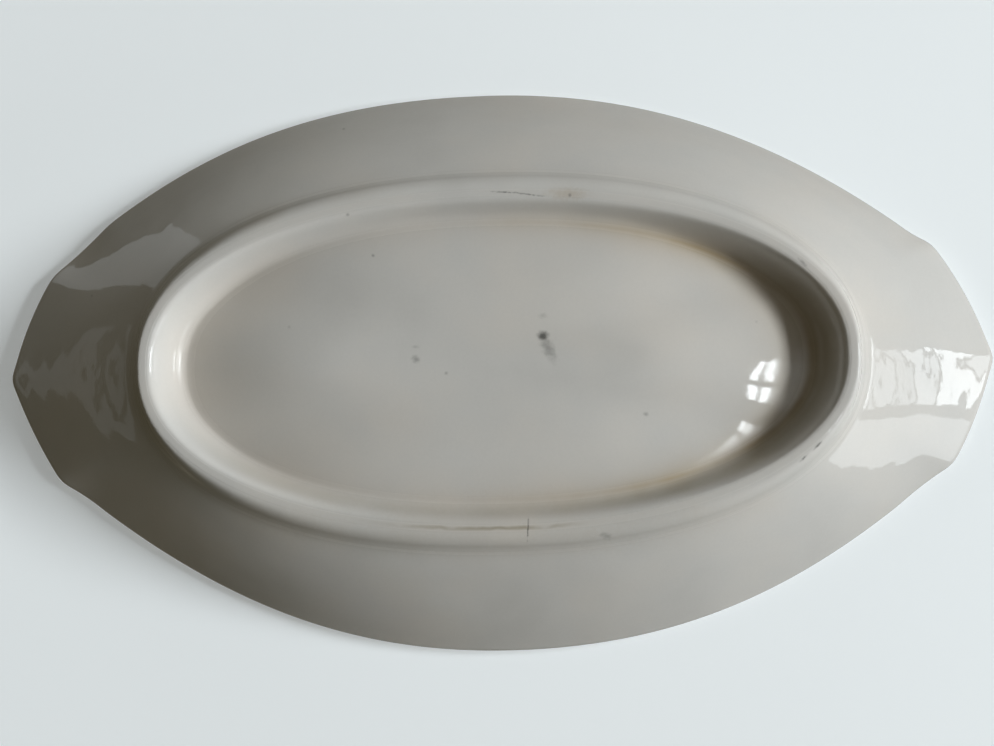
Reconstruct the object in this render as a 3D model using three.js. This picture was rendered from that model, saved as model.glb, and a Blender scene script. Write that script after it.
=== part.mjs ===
// Oval earthenware hors d'oeuvre dish with pointed, bracket-shaped ends, in millimetres.
// +Z is up and +X runs along the length. The dish stands on its foot ring, with z = 0 at the table.
//
// Every piece is lofted through sections that stand square to the foot's oval outline. A section is
// drawn in the plane of its station: x is the distance outwards from the heel, where the foot's outer
// flank meets the wall, and y is the height above the table. All sections are drawn from the middle of
// the underside, round the lip, to the middle of the food side, so the clay is always on their left.
import * as THREE from 'three';

// Overall size
const LENGTH = 240;
const WIDTH = 136;
const HEIGHT = 27;

// Rim outline: two long bowed sides between shoulders, a hollow scallop to an ear, a blunt nose.
// The four corners were trimmed by hand, so each has its own sizes: how far its shoulder and its ear
// lie back from the end of the dish and out from the long axis, and how far it bulges beside the nose.
const SIDE_BOW = 39;
const SHOULDER_BOW = 35.5;
const SHOULDER_SLOPE = 37;
const SCALLOP_DEPTH = 0.4;
const NOSE_LENGTH = 0.8;
const NOSE_HALF_WIDTH = 2;
const CORNERS = {
  rightFront: { shoulderBack: 24.4, shoulderOut: 35.1, earBack: 10.9, earOut: 25.5, earBulge: 0.85 },
  leftFront: { shoulderBack: 23.5, shoulderOut: 32.9, earBack: 12.7, earOut: 25.7, earBulge: 0.7 },
  leftRear: { shoulderBack: 24, shoulderOut: 37.8, earBack: 10.3, earOut: 25.4, earBulge: 0.95 },
  rightRear: { shoulderBack: 21.3, shoulderOut: 33, earBack: 13.9, earOut: 28.5, earBulge: 1.2 },
};

// Foot: the heel's oval, a little fuller than an ellipse, and the ring's section inside it. At the ends of
// the dish the ring is wider and its heel higher than along its sides, and its crest lies nearer to the heel.
// The bows at the crest and the groove are shares of their flank's run, and the heel's of its height.
const FOOT_LENGTH = 169;
const FOOT_WIDTH = 87;
const FOOT_FULLNESS = 2.2;
const RING_END_WIDTH = 11.7;
const RING_SIDE_WIDTH = 11.4;
const CREST_END_IN = 3.2;
const CREST_SIDE_IN = 5;
const LAND_WIDTH = 1.6;
const LAND_STEP = 0.15;
const HEEL_END_HEIGHT = 6;
const HEEL_SIDE_HEIGHT = 2.9;
const HEEL_STEEPNESS = 62;
const HEEL_BOW = 0.35;
const OUTER_CREST_BOW = 0.55;
const INNER_CREST_BOW = 0.38;
const GROOVE_BOW = 0.55;

// Underside inside the ring: a shallow dome whose broad edge rolls up into a groove along the ring. The
// groove is deepest at the ends. The roll's power says how near to the groove the edge rolls, which is nearer
// at the left end than at the right, and the floor's power how late the rest of the dome bends away.
const GROOVE_END_HEIGHT = 8.8;
const GROOVE_SIDE_HEIGHT = 3.6;
const CENTRE_HEIGHT = 2.6;
const ROLL_SHARE = 0.55;
const ROLL_WIDTH = 41;
const ROLL_POWER = 2.3;
const ROLL_LEAN = -0.6;
const FLOOR_POWER = 6;

// Clay thickness, lip, the floor's dip on the food side and its corner with the wall
const FLOOR_THICKNESS = 4.5;
const FLOOR_DIP = 6;
const WALL_THICKNESS = 5;
const LIP_THICKNESS = 3.8;
const FLOOR_CORNER = 9;

// Glaze skin, its bond line on the clay, and the slip joint that holds the foot to the body
const GLAZE_THICKNESS = 0.3;
const BOND_GAP = 0.15;
const SLIP_JOINT = 0.3;

// Facets along each stretch of the rim and of a section
const SIDE_STEPS = 9;
const SCALLOP_STEPS = 3;
const EAR_STEPS = 4;
const NOSE_STEPS = 1;
const FLANK_STEPS = 5;
const JOINT_STEP = 2;
const HEEL_STEPS = 4;
const WALL_STEPS = 3;
const LIP_STEPS = [2, 2, 1];
const CORNER_STEPS = 3;
const RECESS_RINGS = [0.3, 0.52, 0.7, 0.84, 0.93];
const FLOOR_RINGS = [0.85, 0.7, 0.5, 0.25];

// Halvings in the search for the place on the heel below a rim point
const HEEL_SEARCH_STEPS = 50;

const SKIN = GLAZE_THICKNESS + BOND_GAP;
const JOINT_INDEX = RECESS_RINGS.length + 1 + JOINT_STEP;
const UP = new THREE.Vector2(0, 1);
const DOWN = new THREE.Vector2(0, -1);

const clay = () => new THREE.MeshStandardMaterial({ color: 0xd8c8a8, roughness: 0.85, metalness: 0 });
const glaze = () => new THREE.MeshStandardMaterial({ color: 0xdedbd0, roughness: 0.12, metalness: 0 });

// Plan

// A bowed line between two points, with its middle pushed out from the long axis by the given height
function bowed(from, to, height) {
  const along = to.clone().sub(from).normalize();
  const across = new THREE.Vector2(along.y, -along.x);
  const control = from.clone().add(to).multiplyScalar(0.5).addScaledVector(across, 2 * height);
  return new THREE.QuadraticBezierCurve(from, control, to);
}

// One quarter of the rim in the first quadrant, from the nose to the middle of a long side
function quarterRim(corner) {
  const end = LENGTH / 2;
  const nose = new THREE.Vector2(end, 0);
  const noseSide = new THREE.Vector2(end - NOSE_LENGTH, NOSE_HALF_WIDTH);
  const ear = new THREE.Vector2(end - corner.earBack, corner.earOut);
  const shoulder = new THREE.Vector2(end - corner.shoulderBack, corner.shoulderOut);
  const side = new THREE.Vector2(0, WIDTH / 2);
  const slope = THREE.MathUtils.degToRad(SHOULDER_SLOPE);
  const shoulderHandle = new THREE.Vector2(-Math.cos(slope), Math.sin(slope))
    .multiplyScalar(SHOULDER_BOW).add(shoulder);
  const sideHandle = new THREE.Vector2(SIDE_BOW, WIDTH / 2);
  const noseHandle = new THREE.Vector2(end, NOSE_HALF_WIDTH / 2);
  const pieces = [
    [new THREE.QuadraticBezierCurve(nose, noseHandle, noseSide), NOSE_STEPS],
    [bowed(noseSide, ear, corner.earBulge), EAR_STEPS],
    [bowed(ear, shoulder, -SCALLOP_DEPTH), SCALLOP_STEPS],
    [new THREE.CubicBezierCurve(shoulder, shoulderHandle, sideHandle, side), SIDE_STEPS],
  ];
  const points = [nose];
  for (const [curve, steps] of pieces) points.push(...curve.getPoints(steps).slice(1));
  return points;
}

// The whole rim, counter-clockwise from the right-hand nose
function rimOutline() {
  const quarter = (corner, x, y) => quarterRim(corner).map((p) => new THREE.Vector2(x * p.x, y * p.y));
  const withoutLast = (points) => points.slice(0, -1);
  return [
    ...withoutLast(quarter(CORNERS.rightFront, 1, 1)),
    ...withoutLast(quarter(CORNERS.leftFront, -1, 1).reverse()),
    ...withoutLast(quarter(CORNERS.leftRear, -1, -1)),
    ...withoutLast(quarter(CORNERS.rightRear, 1, -1).reverse()),
  ];
}

// The heel's oval at one angle of its first quadrant, and the way out of it, square to the oval
function heelAt(angle) {
  const c = Math.cos(angle);
  const s = Math.sin(angle);
  const power = 2 / FOOT_FULLNESS;
  const point = new THREE.Vector2((FOOT_LENGTH / 2) * c ** power, (FOOT_WIDTH / 2) * s ** power);
  const out = new THREE.Vector2(c ** (2 - power) / FOOT_LENGTH, s ** (2 - power) / FOOT_WIDTH).normalize();
  return { point, out };
}

// The place on the heel from which a rim point lies straight outwards
function heelBelow(rim) {
  const target = new THREE.Vector2(Math.abs(rim.x), Math.abs(rim.y));
  let low = 0;
  let high = Math.PI / 2;
  for (let i = 0; i < HEEL_SEARCH_STEPS; i += 1) {
    const middle = (low + high) / 2;
    const { point, out } = heelAt(middle);
    if (target.clone().sub(point).cross(out) > 0) high = middle;
    else low = middle;
  }
  const mirror = new THREE.Vector2(Math.sign(rim.x), Math.sign(rim.y));
  const { point, out } = heelAt((low + high) / 2);
  return { point: point.multiply(mirror), out: out.multiply(mirror) };
}

// A station holds what its sections need: the way out, the ring's sizes there, the run to the rim and the
// way in to the middle
const stations = rimOutline().map((rim) => {
  const { point: heel, out } = heelBelow(rim);
  const varied = (side, end) => side + (end - side) * out.x ** 2;
  const ring = varied(RING_SIDE_WIDTH, RING_END_WIDTH);
  const groove = heel.clone().addScaledVector(out, -ring);
  return {
    heel, out, ring, groove,
    crest: -varied(CREST_SIDE_IN, CREST_END_IN),
    grooveHeight: varied(GROOVE_SIDE_HEIGHT, GROOVE_END_HEIGHT),
    heelHeight: varied(HEEL_SIDE_HEIGHT, HEEL_END_HEIGHT),
    run: rim.distanceTo(heel),
    reach: groove.length(),
    depth: groove.dot(out),
  };
});

// Puts a section point of a station into space. Inside the groove, stations run to the middle.
function place(station, p) {
  const inside = -station.ring - p.x;
  const plan = inside > 0
    ? station.groove.clone().multiplyScalar(1 - inside / station.reach)
    : station.heel.clone().addScaledVector(station.out, p.x);
  return new THREE.Vector3(plan.x, plan.y, p.y);
}

// Sections of the finished, glazed surface

const at = (x, y) => new THREE.Vector2(x, y);
const insideX = (station, share) => -station.ring - (1 - share) * station.reach;

// Height of the recessed floor at a share of the way from the middle to the groove
function recessHeight(station, share) {
  const power = ROLL_POWER + ROLL_LEAN * station.out.x;
  const near = Math.min((1 - share) * Math.max(station.depth / ROLL_WIDTH, 1), 1);
  const roll = 1 - (1 - near) ** power * (1 + power * near);
  const bulge = (1 - ROLL_SHARE) * (1 - share ** FLOOR_POWER) + ROLL_SHARE * roll;
  return station.grooveHeight - (station.grooveHeight - CENTRE_HEIGHT) * bulge;
}

// From the middle of the underside to the inner edge of the foot's bare land
function recessSection(station) {
  const floor = [0, ...RECESS_RINGS].map(
    (share) => at(insideX(station, share), recessHeight(station, share)));
  const { ring, crest, grooveHeight } = station;
  const land = crest - LAND_WIDTH / 2;
  const flankRun = land + ring;
  const flank = new THREE.CubicBezierCurve(
    at(-ring, grooveHeight), at(-ring + GROOVE_BOW * flankRun, grooveHeight),
    at(land - INNER_CREST_BOW * flankRun, LAND_STEP), at(land, LAND_STEP));
  return [...floor, ...flank.getPoints(FLANK_STEPS)];
}

// From the outer edge of the bare land to the heel
function heelSection(station) {
  const land = station.crest + LAND_WIDTH / 2;
  const steep = THREE.MathUtils.degToRad(HEEL_STEEPNESS);
  const heel = at(0, station.heelHeight);
  const heelHandle = at(Math.cos(steep), Math.sin(steep)).multiplyScalar(-HEEL_BOW * heel.y).add(heel);
  const flank = new THREE.CubicBezierCurve(
    at(land, LAND_STEP), at(land - OUTER_CREST_BOW * land, LAND_STEP), heelHandle, heel);
  return flank.getPoints(HEEL_STEPS);
}

// From the heel up the wall, round the lip, down the inside and over the floor to its middle
function bowlSection(station) {
  const lip = LIP_THICKNESS / 2;
  const heel = at(0, station.heelHeight);
  const lipCentre = at(station.run - lip, HEIGHT - lip);
  const tangentAngle = (from, side) => {
    const d = lipCentre.clone().sub(from);
    return Math.atan2(d.y, d.x) + side * Math.asin(lip / d.length());
  };
  const outer = tangentAngle(heel, -1);
  const innerStart = heel.clone().add(at(-Math.sin(outer), Math.cos(outer)).multiplyScalar(WALL_THICKNESS));
  const inner = tangentAngle(innerStart, 1);
  const turns = [outer - Math.PI / 2, 0, Math.PI / 2, inner + Math.PI / 2];
  const lipArc = LIP_STEPS.flatMap((steps, i) => {
    const arc = new THREE.ArcCurve(lipCentre.x, lipCentre.y, lip, turns[i], turns[i + 1]).getPoints(steps);
    return i === 0 ? arc : arc.slice(1);
  });
  const wall = new THREE.LineCurve(heel, lipArc[0]).getPoints(WALL_STEPS);

  const floorHeight = GROOVE_END_HEIGHT + FLOOR_THICKNESS;
  const knuckle = at(innerStart.x + (floorHeight - innerStart.y) / Math.tan(inner), floorHeight);
  const cornerTop = knuckle.clone().add(at(Math.cos(inner), Math.sin(inner)).multiplyScalar(FLOOR_CORNER));
  const cornerEnd = at(knuckle.x - FLOOR_CORNER, floorHeight);
  const corner = new THREE.QuadraticBezierCurve(cornerTop, knuckle, cornerEnd).getPoints(CORNER_STEPS);
  const inside = new THREE.LineCurve(lipArc.at(-1), cornerTop).getPoints(WALL_STEPS);
  const floor = [1, ...FLOOR_RINGS, 0].map(
    (share) => at(insideX(station, share), floorHeight - FLOOR_DIP * (1 - share ** 2) ** 2));
  return [...wall, ...lipArc.slice(1), ...inside.slice(1, -1), ...corner, ...floor];
}

// Moves a section into the clay on its left, square to it. Ends on the middle line move straight.
function sunk(points, depth, startWay, endWay) {
  const last = points.length - 1;
  const leftOf = (i) => {
    const d = points[i + 1].clone().sub(points[i]).normalize();
    return at(-d.y, d.x);
  };
  return points.map((p, i) => {
    if (i === 0 && startWay) return p.clone().addScaledVector(startWay, depth);
    if (i === last && endWay) return p.clone().addScaledVector(endWay, depth);
    const before = leftOf(Math.max(i - 1, 0));
    const after = leftOf(Math.min(i, last - 1));
    const middle = before.clone().add(after).normalize();
    return p.clone().addScaledVector(middle, depth / middle.dot(after));
  });
}

// The same surface at a depth below it: the recess up to the bare land, and the rest from the land on
const recessAt = (station, depth) => sunk(recessSection(station), depth, UP, UP);
const coatAt = (station, depth) => sunk(
  [...heelSection(station), ...bowlSection(station).slice(1)], depth, UP, DOWN);

// Sections of the pieces

// The body's underside leaves the inner flank at the joint, and its seat runs straight to the heel
function bodySection(station) {
  return [...recessAt(station, SKIN).slice(0, JOINT_INDEX + 1), ...coatAt(station, SKIN).slice(HEEL_STEPS)];
}

// A closed loop: inner flank, bare land, outer flank, then back along the slip joint
function footSection(station) {
  const inner = recessAt(station, SKIN).slice(JOINT_INDEX);
  const outer = coatAt(station, SKIN).slice(0, HEEL_STEPS + 1);
  const seat = outer.at(-1).clone().sub(inner[0]).normalize();
  const awayFromSeat = at(seat.y, -seat.x);
  const clearOfSeat = (from, to) => {
    const way = to.clone().sub(from);
    return from.clone().addScaledVector(way, SLIP_JOINT / way.dot(awayFromSeat));
  };
  const half = LAND_WIDTH / 2 - BOND_GAP;
  const land = [[-half, LAND_STEP + SKIN], [-half, 0], [half, 0], [half, LAND_STEP + SKIN]];
  return [
    clearOfSeat(inner[0], inner[1]), ...inner.slice(1),
    ...land.map(([x, y]) => at(station.crest + x, y)),
    ...outer.slice(0, -1), clearOfSeat(outer.at(-1), outer.at(-2)),
  ];
}

// Each glaze is a skin: its outer face and the same face at the glaze's depth
function recessGlazeSection(station) {
  return [...recessAt(station, 0), ...recessAt(station, GLAZE_THICKNESS).reverse()];
}

function coatSection(station) {
  return [...coatAt(station, GLAZE_THICKNESS).reverse(), ...coatAt(station, 0)];
}

// Lofts a section round all stations. An open section starts and ends on the middle line, and a closed
// one is a ring that goes round it. Each quad is split from its outer corner at the first station, so the
// faces of a skin and of the clay under it stay parallel.
function loft(section, closed) {
  const sections = stations.map(section);
  const across = sections[0].length;
  const count = stations.length;
  const positions = sections.flatMap((points, i) => points.flatMap((p) => place(stations[i], p).toArray()));
  const onMiddle = (j) => !closed && (j === 0 || j === across - 1);
  const vertex = (i, j) => (onMiddle(j) ? j : i * across + j);
  const faces = [];
  for (let i = 0; i < count; i += 1) {
    const next = (i + 1) % count;
    for (let j = 0; j < (closed ? across : across - 1); j += 1) {
      const k = (j + 1) % across;
      const [a, b, c, d] = [vertex(i, j), vertex(next, j), vertex(next, k), vertex(i, k)];
      const goesOut = sections[i][k].x > sections[i][j].x;
      const halves = goesOut ? [[a, b, d], [b, c, d]] : [[a, b, c], [a, c, d]];
      faces.push(...halves.filter((half) => new Set(half).size === half.length).flat());
    }
  }
  const geometry = new THREE.BufferGeometry();
  geometry.setAttribute('position', new THREE.Float32BufferAttribute(positions, 3));
  geometry.setIndex(faces);
  geometry.computeVertexNormals();
  return geometry;
}

function piece(name, geometry, material) {
  const mesh = new THREE.Mesh(geometry, material);
  mesh.name = name;
  return mesh;
}

const dish = new THREE.Group();
dish.add(piece('clay_body', loft(bodySection, false), clay()));
dish.add(piece('foot_ring', loft(footSection, true), clay()));
dish.add(piece('glaze_coat', loft(coatSection, false), glaze()));
dish.add(piece('recess_glaze', loft(recessGlazeSection, false), glaze()));

export default dish;
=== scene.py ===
"""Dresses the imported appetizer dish: smooth glazed earthenware around the CAD frame, in metres.

The dish stands on its foot ring, with +X along its length and +Z up out of the food side. The main camera
looks up at the underside, which lies against a pale backdrop at the height of the rim.

Sections are drawn in the plane of a station that stands square to the foot's oval: x is the distance
outwards from the heel, where the foot's outer flank meets the wall, and y is the height above the table.
"""
import math

import bpy
from bpy.props import FloatProperty, FloatVectorProperty, IntProperty, PointerProperty
from mathutils import Matrix, Vector


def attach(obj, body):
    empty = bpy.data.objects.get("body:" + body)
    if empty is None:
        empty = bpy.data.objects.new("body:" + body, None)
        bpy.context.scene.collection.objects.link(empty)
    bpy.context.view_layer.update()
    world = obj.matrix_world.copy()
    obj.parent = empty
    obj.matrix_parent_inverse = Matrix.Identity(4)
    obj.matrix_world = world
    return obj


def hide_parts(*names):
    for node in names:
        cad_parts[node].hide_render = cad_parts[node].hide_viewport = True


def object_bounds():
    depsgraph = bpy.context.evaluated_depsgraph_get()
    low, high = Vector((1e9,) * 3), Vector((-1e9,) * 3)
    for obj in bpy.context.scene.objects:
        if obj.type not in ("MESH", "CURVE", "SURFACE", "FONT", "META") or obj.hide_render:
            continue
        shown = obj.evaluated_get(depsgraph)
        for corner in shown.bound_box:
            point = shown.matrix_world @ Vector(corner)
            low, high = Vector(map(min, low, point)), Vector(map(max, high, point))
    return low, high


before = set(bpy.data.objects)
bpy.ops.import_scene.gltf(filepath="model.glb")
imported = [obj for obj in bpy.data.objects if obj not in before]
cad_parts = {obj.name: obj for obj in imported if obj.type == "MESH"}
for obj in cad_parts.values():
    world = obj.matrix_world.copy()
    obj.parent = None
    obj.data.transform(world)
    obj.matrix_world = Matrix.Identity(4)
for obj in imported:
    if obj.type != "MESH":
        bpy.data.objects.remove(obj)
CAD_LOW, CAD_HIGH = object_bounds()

bl_info = {
    "name": "Appetizer dish",
    "version": (1, 0, 0),
    "blender": (4, 5, 0),
    "location": "3D View > Sidebar > Dish",
    "description": "Builds a boat-shaped dish in glazed earthenware around its packed frame",
    "category": "Object",
}

BODY = "root"
UP = Vector((0, 1))
DOWN = Vector((0, -1))
SHARP_EDGE = math.radians(50)


# Settings

def length(name, description, default):
    return FloatProperty(name=name, description=description, default=default, unit="LENGTH", precision=5)


def corners(name, description, default):
    return FloatVectorProperty(
        name=name, description=description + ", for the right front, left front, left rear and right rear",
        size=4, default=default, unit="LENGTH", precision=5)


def number(name, description, default, unit="NONE"):
    return FloatProperty(name=name, description=description, default=default, unit=unit)


def whole_number(name, description, default):
    return IntProperty(name=name, description=description, default=default, min=16)


def share(name, description, default):
    return FloatProperty(name=name, description=description, default=default, subtype="FACTOR")


def angle(name, description, degrees):
    return FloatProperty(name=name, description=description, default=math.radians(degrees), unit="ROTATION")


def colour(name, description, default):
    return FloatVectorProperty(
        name=name, description=description, default=default, subtype="COLOR", min=0, max=1)


def point(name, description, default):
    return FloatVectorProperty(name=name, description=description, default=default, subtype="TRANSLATION")


class DishShape(bpy.types.PropertyGroup):
    """Sizes of the dish, as in the CAD source where it has them"""

    length: length("Length", "Length over both noses", CAD_HIGH.x - CAD_LOW.x)
    width: length("Width", "Width over both long sides", CAD_HIGH.y - CAD_LOW.y)
    height: length("Height", "Height of the rim above the table", CAD_HIGH.z)
    side_bow: length("Side bow", "Handle of the long side at its middle", 0.039)
    shoulder_bow: length("Shoulder bow", "Handle of the long side at the shoulder", 0.0355)
    shoulder_slope: angle("Shoulder slope", "Slope of the long side at the shoulder", 37)
    scallop_depth: length("Scallop depth", "Hollow between shoulder and ear", 0.0004)
    nose_length: length("Nose length", "How far the blunt nose reaches past its sides", 0.0008)
    nose_half_width: length("Nose half width", "Half of the nose's width", 0.002)
    shoulder_back: corners("Shoulder back", "Shoulder from the end", (0.0244, 0.0235, 0.024, 0.0213))
    shoulder_out: corners("Shoulder out", "Shoulder from the long axis", (0.0351, 0.0329, 0.0378, 0.033))
    ear_back: corners("Ear back", "Ear from the end", (0.0109, 0.0127, 0.0103, 0.0139))
    ear_out: corners("Ear out", "Ear from the long axis", (0.0255, 0.0257, 0.0254, 0.0285))
    ear_bulge: corners("Ear bulge", "Bulge beside the nose", (0.00085, 0.0007, 0.00095, 0.0012))
    edge_softness: length("Edge softness", "How far the corners of the rim are rounded", 0.0016)
    wall_softness: length("Wall softness", "How far the rim's corners fade out down the wall", 0.012)
    end_bow: length("Bow of the ends", "How far the outside of the wall bulges at the ends", 0.0005)
    wall_bow: length("Bow of the sides", "How far the outside of the wall bulges at the long sides", 0.0011)

    foot_length: length("Foot length", "Length of the heel's oval", 0.169)
    foot_width: length("Foot width", "Width of the heel's oval", 0.087)
    foot_fullness: number("Foot fullness", "Power of the heel's oval, 2 for an ellipse", 2.2)
    ring_end_width: length("Ring width at the ends", "From heel to groove at the ends", 0.0117)
    ring_side_width: length("Ring width at the sides", "From heel to groove at the sides", 0.0114)
    crest_end_in: length("Crest in at the ends", "From the heel in to the crest at the ends", 0.0032)
    crest_side_in: length("Crest in at the sides", "From the heel in to the crest at the sides", 0.005)
    land_width: length("Land width", "Width of the bare land on the crest", 0.0016)
    land_step: length("Land step", "How far the land stands out of the glaze", 0.00003)
    heel_end_height: length("Heel height at the ends", "Height of the heel above the table", 0.006)
    heel_side_height: length("Heel height at the sides", "Height of the heel above the table", 0.0029)
    heel_steepness: angle("Heel steepness", "Steepness of the foot's outer flank", 62)
    heel_bow: share("Heel bow", "Handle of the outer flank at the heel, by the heel's height", 0.35)
    outer_crest_bow: share("Outer crest bow", "Handle of the outer flank at the crest", 0.55)
    inner_crest_bow: share("Inner crest bow", "Handle of the inner flank at the crest", 0.38)
    groove_bow: share("Groove bow", "Handle of the inner flank at the groove", 0.55)

    groove_end_height: length("Groove height at the ends", "Height of the groove above the table", 0.0088)
    groove_side_height: length("Groove height at the sides", "Height of the groove above the table", 0.0036)
    groove_reach: share("Groove reach", "How squarely endwards the groove has its end depth", 0.7)
    centre_height: length("Centre height", "Height of the recess in its middle above the table", 0.0026)
    roll_share: share("Roll share", "Share of the recess's bulge that lies in its rolled edge", 0.55)
    roll_width: length("Roll width", "Width of the rolled edge of the recess", 0.041)
    roll_power: number("Roll power", "How near to the middle the rolled edge starts", 2.3)
    roll_lean: number("Roll lean", "Added to the roll's power at the right end, taken off at the left", -0.5)
    floor_power: number("Floor power", "How late the rest of the recess bends away", 6.0)

    floor_thickness: length("Floor thickness", "Thickness of the floor over the end grooves", 0.0045)
    floor_dip: length("Floor dip", "How far the floor dips on the food side", 0.006)
    wall_thickness: length("Wall thickness", "Thickness of the wall at the heel", 0.005)
    lip_thickness: length("Lip thickness", "Thickness of the round lip", 0.0038)
    floor_corner: length("Floor corner", "Size of the corner between wall and floor", 0.009)
    glaze_thickness: length("Glaze thickness", "Thickness of the glaze skin", 0.0003)
    bond_width: length("Bond width", "From the back of the glaze to the clay", 0.00015)

    stations: whole_number("Stations", "Sections round the dish", 640)
    recess_turns: whole_number("Recess turns", "Points round the recess", 361)
    recess_rings: whole_number("Recess rings", "Rings across the recess", 96)


class DishFinish(bpy.types.PropertyGroup):
    """Colours and gloss of glaze and clay"""

    cream: colour("Cream", "The glaze where it is clean", (0.6, 0.592, 0.57))
    warm_cream: colour("Warm cream", "The glaze where it is a little thicker", (0.57, 0.535, 0.488))
    # Besides the crest's stains, this colour also paints shade into the band along the flank's front
    stain: colour("Stain", "Olive brown stain along the crest", (0.2, 0.162, 0.08))
    # Partly painted shade: this brown lies only in the right end's groove, where the crest's shadow falls
    groove_stain_and_shade: colour("Groove stain and shade", "Brown stain that gathered in the groove", (0.34, 0.255, 0.135))
    soot: colour("Soot", "Dark specks and dirt", (0.035, 0.034, 0.032))
    clay: colour("Clay", "Bare fired clay", (0.52, 0.47, 0.38))
    gloss_roughness: share("Gloss roughness", "Roughness of the clean glaze", 0.035)
    land_roughness: share("Land roughness", "Roughness of the rubbed land on the crest", 0.3)
    # Partly painted shade: the heel's crease turns warm and dark, for dirt and for the shade that falls
    # there
    heel_dirt_and_shade: share("Heel dirt and shade", "How much of the groove's warmth and brown the heel holds", 0.03)
    wall_ripple: length("Wall ripple", "Depth of the slow waves in the wall's glaze", 0.0003)
    rib_depth: length("Rib depth", "Depth of the ribs that run round the wall", 0.000007)
    rib_spacing: length("Rib spacing", "From rib to rib up the wall", 0.0068)
    recess_ripple: length("Recess ripple", "Depth of the slow waves in the recess's glaze", 0.00007)


class DishStage(bpy.types.PropertyGroup):
    """Backdrop, floor, light and camera"""

    paper: colour("Paper", "The pale floor and backdrop", (0.74, 0.78, 0.80))
    lamp_distance: length("Lamp distance", "From the middle of the dish to each lamp", 3.0)
    paper_glow: share("Paper glow", "How much brighter the paper looks to the camera", 0.28)
    backdrop_half: length("Backdrop half size", "From the middle of the backdrop to its edges", 0.6)
    floor_half: length("Floor half size", "From the middle of the floor to its edges", 20.0)
    sheet_gap: length("Sheet gap", "From the dish to the floor and the backdrop", 0.0002)
    window: number("Window", "Power of the window", 102.0, "POWER")
    upper_sky: number("Upper sky", "Power of the light from more steeply below", 6.0, "POWER")
    rear_fill: number("Rear fill", "Power of the light from the rear side", 9.0, "POWER")
    front_fill: number("Front fill", "Power of the light from the front side", 13.0, "POWER")
    lamp_colour: colour("Lamp colour", "Colour of the light on the underside", (0.945, 0.98, 1.0))
    gleam: number("Gleam", "Brightness of a pane in reflections", 8.0)
    pane_colour: colour("Pane colour", "Colour of the panes in reflections", (0.9, 0.96, 1.0))
    ceiling: number("Ceiling", "Power of the lamp over the food side", 8.0, "POWER")
    ceiling_place: point("Ceiling place", "Where the lamp over the food side hangs", (-0.08, -0.12, 1.2))
    room: number("Room", "Brightness of the room below the dish", 0.08)
    room_colour: colour("Room colour", "Colour of the room below the dish", (1.0, 0.88, 0.58))
    room_above: number("Room above", "Brightness of the room straight above the dish", 0.5)
    background: number("Background", "Brightness of the room to the camera", 0.92)
    camera_place: point("Camera place", "Where the camera stands", (0.00788, 0.03449, -0.35141))
    camera_aim: point("Camera aim", "What the camera looks at", (-0.00056, 0.00085, 0.027))
    camera_roll: angle("Camera roll", "Turn of the camera about its view", -1.14)
    camera_lens: number("Camera lens", "Focal length in millimetres", 56.08, "CAMERA")


# Plan of the dish

def curve(controls, steps):
    """Points along the curve of any degree with these control points, both ends included."""
    points = []
    for i in range(steps + 1):
        level = list(controls)
        while len(level) > 1:
            level = [a.lerp(b, i / steps) for a, b in zip(level, level[1:])]
        points.append(level[0])
    return points


def bowed(start, end, height):
    """Control points of a line whose middle is pushed out from the long axis by the height."""
    along = (end - start).normalized()
    return [start, (start + end) / 2 + 2 * height * Vector((along.y, -along.x)), end]


def quarter_rim(shape, corner, steps):
    """One quarter of the rim in the first quadrant, from the nose to the middle of a long side."""
    end = shape.length / 2
    half = shape.width / 2
    nose = Vector((end, 0))
    nose_side = Vector((end - shape.nose_length, shape.nose_half_width))
    ear = Vector((end - shape.ear_back[corner], shape.ear_out[corner]))
    shoulder = Vector((end - shape.shoulder_back[corner], shape.shoulder_out[corner]))
    slope = Vector((-math.cos(shape.shoulder_slope), math.sin(shape.shoulder_slope)))
    stretches = [
        [nose, Vector((end, shape.nose_half_width / 2)), nose_side],
        bowed(nose_side, ear, shape.ear_bulge[corner]),
        bowed(ear, shoulder, -shape.scallop_depth),
        [shoulder, shoulder + shape.shoulder_bow * slope, Vector((shape.side_bow, half)), Vector((0, half))],
    ]
    points = [nose]
    for controls in stretches:
        points += curve(controls, steps)[1:]
    return points


def even_steps(points, count):
    """The closed line through the points, in equal steps."""
    closed = points + points[:1]
    lengths = [(b - a).length for a, b in zip(closed, closed[1:])]
    step = sum(lengths) / count
    result, travelled, i = [], 0.0, 0
    for k in range(count):
        while travelled + lengths[i] < k * step:
            travelled += lengths[i]
            i += 1
        result.append(closed[i].lerp(closed[i + 1], (k * step - travelled) / lengths[i]))
    return result


def softened(values, reach):
    """Each value of a closed row averaged with its neighbours, over about the given number of steps."""
    reaches_each_way = 2.5
    span = max(1, round(reaches_each_way * reach))
    weights = [math.exp(-0.5 * (k / reach) ** 2) for k in range(-span, span + 1)]
    total = sum(weights)
    count = len(values)
    result = []
    for i in range(count):
        mean = values[i] * 0
        for k, weight in enumerate(weights):
            mean = mean + values[(i + k - span) % count] * (weight / total)
        result.append(mean)
    return result


def rim_outline(shape):
    """The whole rim, counter-clockwise from the right-hand nose, with its corners rounded."""
    steps_per_stretch = 160
    quarters = []
    for corner, (x, y) in enumerate([(1, 1), (-1, 1), (-1, -1), (1, -1)]):
        points = [Vector((x * p.x, y * p.y)) for p in quarter_rim(shape, corner, steps_per_stretch)]
        quarters += (points if x == y else points[::-1])[:-1]
    rim = even_steps(quarters, shape.stations)
    step = (rim[1] - rim[0]).length
    return softened(rim, shape.edge_softness / step), step


def heel_at(shape, turn):
    """The heel's oval at one angle of its first quadrant, and the way out of it."""
    c, s = math.cos(turn), math.sin(turn)
    power = 2 / shape.foot_fullness
    place = Vector((shape.foot_length / 2 * c ** power, shape.foot_width / 2 * s ** power))
    out = Vector((c ** (2 - power) / shape.foot_length, s ** (2 - power) / shape.foot_width))
    return place, out.normalized()


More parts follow.
